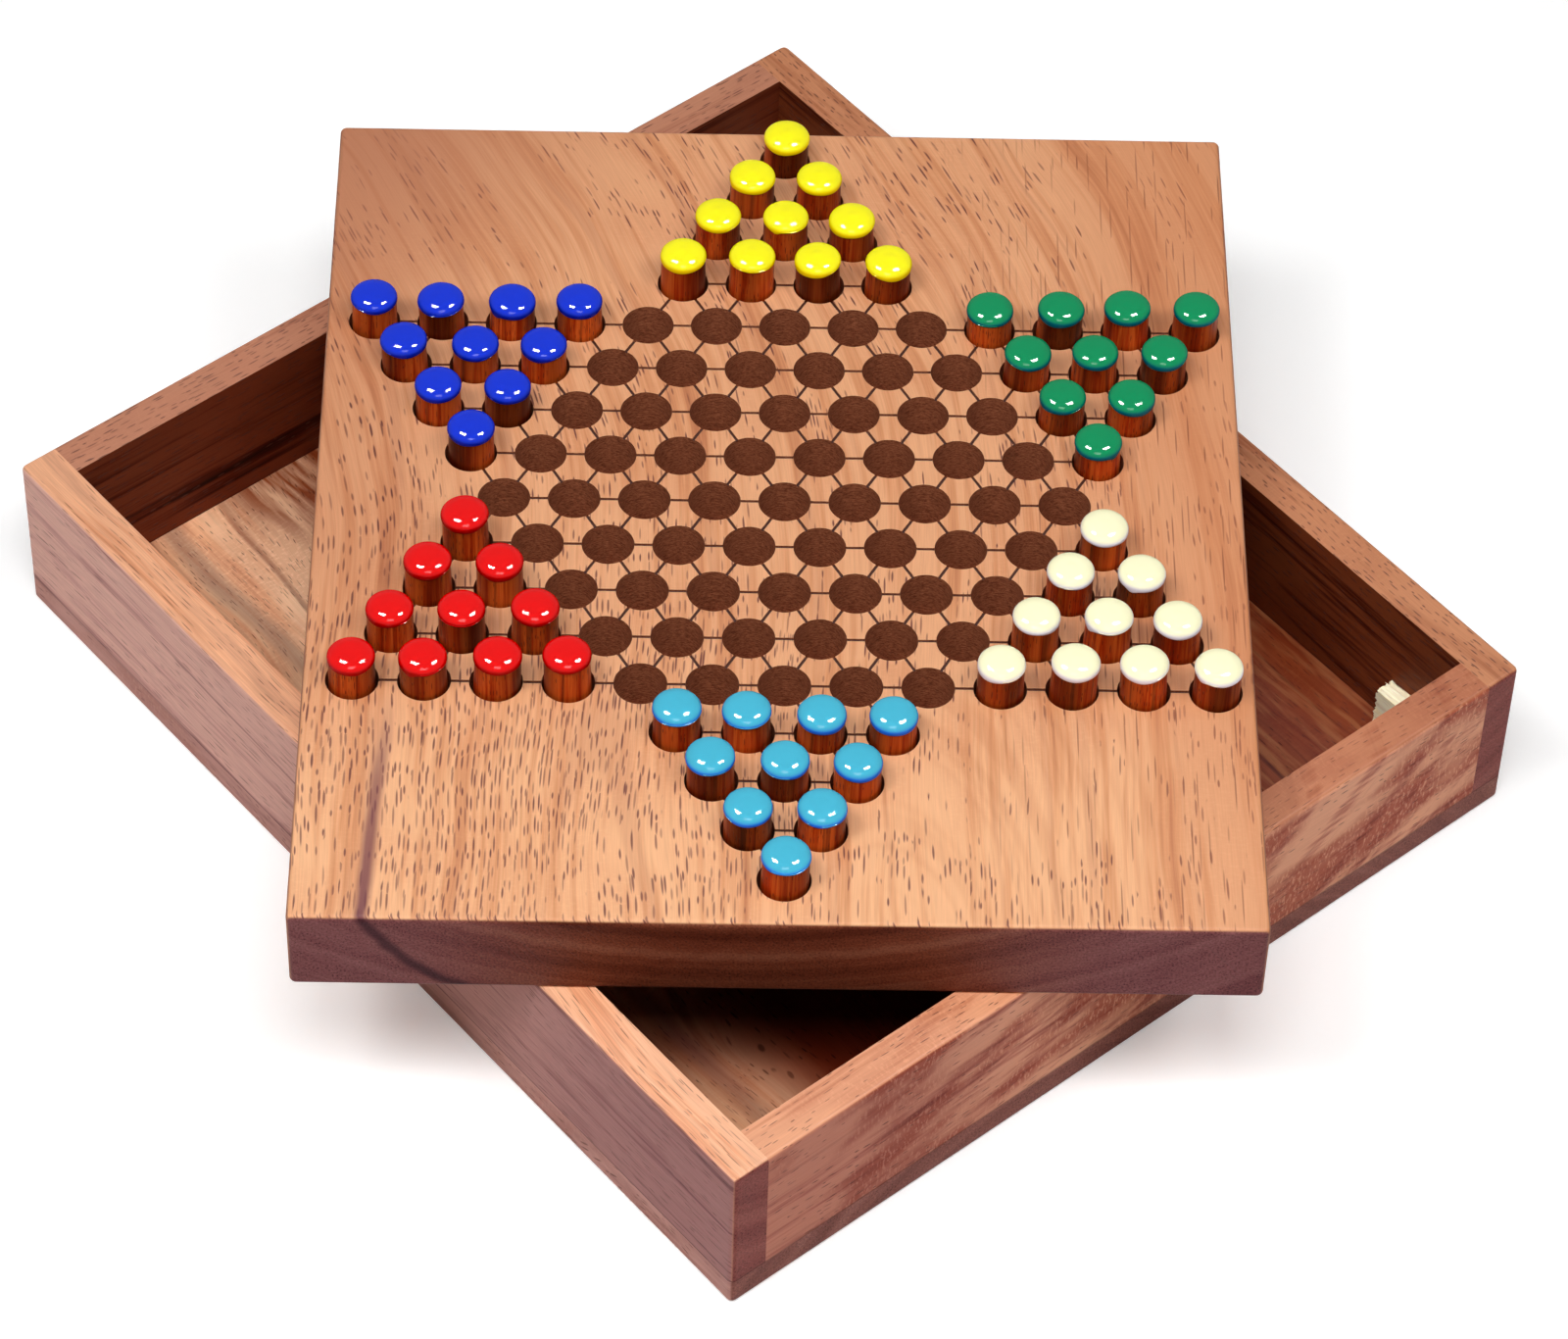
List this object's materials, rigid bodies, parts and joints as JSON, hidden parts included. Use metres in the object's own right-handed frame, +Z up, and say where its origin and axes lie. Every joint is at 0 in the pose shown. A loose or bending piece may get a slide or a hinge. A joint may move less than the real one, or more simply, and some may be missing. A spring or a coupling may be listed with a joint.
{
  "type": "halma set",
  "caption": "Wooden star halma set: open box tray with a thick drilled board lying turned across its rim, and dowel pegs with coloured enamel caps in the arms of the star.",
  "frame": {"origin": "middle of the tray's underside", "axes": "+Z up; X along the tray's short side and Y along its long side; the board lies turned about Z on the rim"},
  "size_m": [0.3176, 0.322, 0.079],
  "materials": {
    "tray_wood": "sanded and thinly lacquered reddish hardwood",
    "board_wood": "sanded and thinly lacquered light reddish hardwood",
    "softwood": "rough sawn",
    "peg_wood": "lacquered reddish brown dowel",
    "yellow_enamel": "dipped gloss enamel, yellow",
    "blue_enamel": "dipped gloss enamel, deep blue",
    "green_enamel": "dipped gloss enamel, green",
    "red_enamel": "dipped gloss enamel, red",
    "white_enamel": "dipped gloss enamel, cream white",
    "sky_enamel": "dipped gloss enamel, sky blue"
  },
  "bodies": {
    "tray": {"bottom_panel": "tray_wood", "long_wall_left": "tray_wood", "long_wall_right": "tray_wood", "short_wall_front": "tray_wood", "short_wall_back": "tray_wood", "support_block_front_left": "softwood", "support_block_front_right": "softwood", "support_block_back_left": "softwood", "support_block_back_right": "softwood"},
    "board": {"board": "board_wood"},
    "yellow_row_1": {"yellow_pegs_row_1": "peg_wood", "yellow_caps_row_1": "yellow_enamel"},
    "yellow_row_2": {"yellow_pegs_row_2": "peg_wood", "yellow_caps_row_2": "yellow_enamel"},
    "yellow_row_3": {"yellow_pegs_row_3": "peg_wood", "yellow_caps_row_3": "yellow_enamel"},
    "yellow_row_4": {"yellow_pegs_row_4": "peg_wood", "yellow_caps_row_4": "yellow_enamel"},
    "blue_row_1": {"blue_pegs_row_1": "peg_wood", "blue_caps_row_1": "blue_enamel"},
    "blue_row_2": {"blue_pegs_row_2": "peg_wood", "blue_caps_row_2": "blue_enamel"},
    "blue_row_3": {"blue_pegs_row_3": "peg_wood", "blue_caps_row_3": "blue_enamel"},
    "blue_row_4": {"blue_pegs_row_4": "peg_wood", "blue_caps_row_4": "blue_enamel"},
    "green_row_1": {"green_pegs_row_1": "peg_wood", "green_caps_row_1": "green_enamel"},
    "green_row_2": {"green_pegs_row_2": "peg_wood", "green_caps_row_2": "green_enamel"},
    "green_row_3": {"green_pegs_row_3": "peg_wood", "green_caps_row_3": "green_enamel"},
    "green_row_4": {"green_pegs_row_4": "peg_wood", "green_caps_row_4": "green_enamel"},
    "red_row_1": {"red_pegs_row_1": "peg_wood", "red_caps_row_1": "red_enamel"},
    "red_row_2": {"red_pegs_row_2": "peg_wood", "red_caps_row_2": "red_enamel"},
    "red_row_3": {"red_pegs_row_3": "peg_wood", "red_caps_row_3": "red_enamel"},
    "red_row_4": {"red_pegs_row_4": "peg_wood", "red_caps_row_4": "red_enamel"},
    "white_row_1": {"white_pegs_row_1": "peg_wood", "white_caps_row_1": "white_enamel"},
    "white_row_2": {"white_pegs_row_2": "peg_wood", "white_caps_row_2": "white_enamel"},
    "white_row_3": {"white_pegs_row_3": "peg_wood", "white_caps_row_3": "white_enamel"},
    "white_row_4": {"white_pegs_row_4": "peg_wood", "white_caps_row_4": "white_enamel"},
    "sky_row_1": {"sky_pegs_row_1": "peg_wood", "sky_caps_row_1": "sky_enamel"},
    "sky_row_2": {"sky_pegs_row_2": "peg_wood", "sky_caps_row_2": "sky_enamel"},
    "sky_row_3": {"sky_pegs_row_3": "peg_wood", "sky_caps_row_3": "sky_enamel"},
    "sky_row_4": {"sky_pegs_row_4": "peg_wood", "sky_caps_row_4": "sky_enamel"}
  },
  "joints": [
    {"name": "board_lift", "type": "slide", "parent": "tray", "child": "board", "axis": [0, 0, 1], "range_m": [0, 0.06]},
    {"name": "yellow_row_1_pull", "type": "slide", "parent": "board", "child": "yellow_row_1", "axis": [0, 0, 1], "range_m": [0, 0.03]},
    {"name": "yellow_row_2_pull", "type": "slide", "parent": "board", "child": "yellow_row_2", "axis": [0, 0, 1], "range_m": [0, 0.03]},
    {"name": "yellow_row_3_pull", "type": "slide", "parent": "board", "child": "yellow_row_3", "axis": [0, 0, 1], "range_m": [0, 0.03]},
    {"name": "yellow_row_4_pull", "type": "slide", "parent": "board", "child": "yellow_row_4", "axis": [0, 0, 1], "range_m": [0, 0.03]},
    {"name": "blue_row_1_pull", "type": "slide", "parent": "board", "child": "blue_row_1", "axis": [0, 0, 1], "range_m": [0, 0.03]},
    {"name": "blue_row_2_pull", "type": "slide", "parent": "board", "child": "blue_row_2", "axis": [0, 0, 1], "range_m": [0, 0.03]},
    {"name": "blue_row_3_pull", "type": "slide", "parent": "board", "child": "blue_row_3", "axis": [0, 0, 1], "range_m": [0, 0.03]},
    {"name": "blue_row_4_pull", "type": "slide", "parent": "board", "child": "blue_row_4", "axis": [0, 0, 1], "range_m": [0, 0.03]},
    {"name": "green_row_1_pull", "type": "slide", "parent": "board", "child": "green_row_1", "axis": [0, 0, 1], "range_m": [0, 0.03]},
    {"name": "green_row_2_pull", "type": "slide", "parent": "board", "child": "green_row_2", "axis": [0, 0, 1], "range_m": [0, 0.03]},
    {"name": "green_row_3_pull", "type": "slide", "parent": "board", "child": "green_row_3", "axis": [0, 0, 1], "range_m": [0, 0.03]},
    {"name": "green_row_4_pull", "type": "slide", "parent": "board", "child": "green_row_4", "axis": [0, 0, 1], "range_m": [0, 0.03]},
    {"name": "red_row_1_pull", "type": "slide", "parent": "board", "child": "red_row_1", "axis": [0, 0, 1], "range_m": [0, 0.03]},
    {"name": "red_row_2_pull", "type": "slide", "parent": "board", "child": "red_row_2", "axis": [0, 0, 1], "range_m": [0, 0.03]},
    {"name": "red_row_3_pull", "type": "slide", "parent": "board", "child": "red_row_3", "axis": [0, 0, 1], "range_m": [0, 0.03]},
    {"name": "red_row_4_pull", "type": "slide", "parent": "board", "child": "red_row_4", "axis": [0, 0, 1], "range_m": [0, 0.03]},
    {"name": "white_row_1_pull", "type": "slide", "parent": "board", "child": "white_row_1", "axis": [0, 0, 1], "range_m": [0, 0.03]},
    {"name": "white_row_2_pull", "type": "slide", "parent": "board", "child": "white_row_2", "axis": [0, 0, 1], "range_m": [0, 0.03]},
    {"name": "white_row_3_pull", "type": "slide", "parent": "board", "child": "white_row_3", "axis": [0, 0, 1], "range_m": [0, 0.03]},
    {"name": "white_row_4_pull", "type": "slide", "parent": "board", "child": "white_row_4", "axis": [0, 0, 1], "range_m": [0, 0.03]},
    {"name": "sky_row_1_pull", "type": "slide", "parent": "board", "child": "sky_row_1", "axis": [0, 0, 1], "range_m": [0, 0.03]},
    {"name": "sky_row_2_pull", "type": "slide", "parent": "board", "child": "sky_row_2", "axis": [0, 0, 1], "range_m": [0, 0.03]},
    {"name": "sky_row_3_pull", "type": "slide", "parent": "board", "child": "sky_row_3", "axis": [0, 0, 1], "range_m": [0, 0.03]},
    {"name": "sky_row_4_pull", "type": "slide", "parent": "board", "child": "sky_row_4", "axis": [0, 0, 1], "range_m": [0, 0.03]}
  ]
}
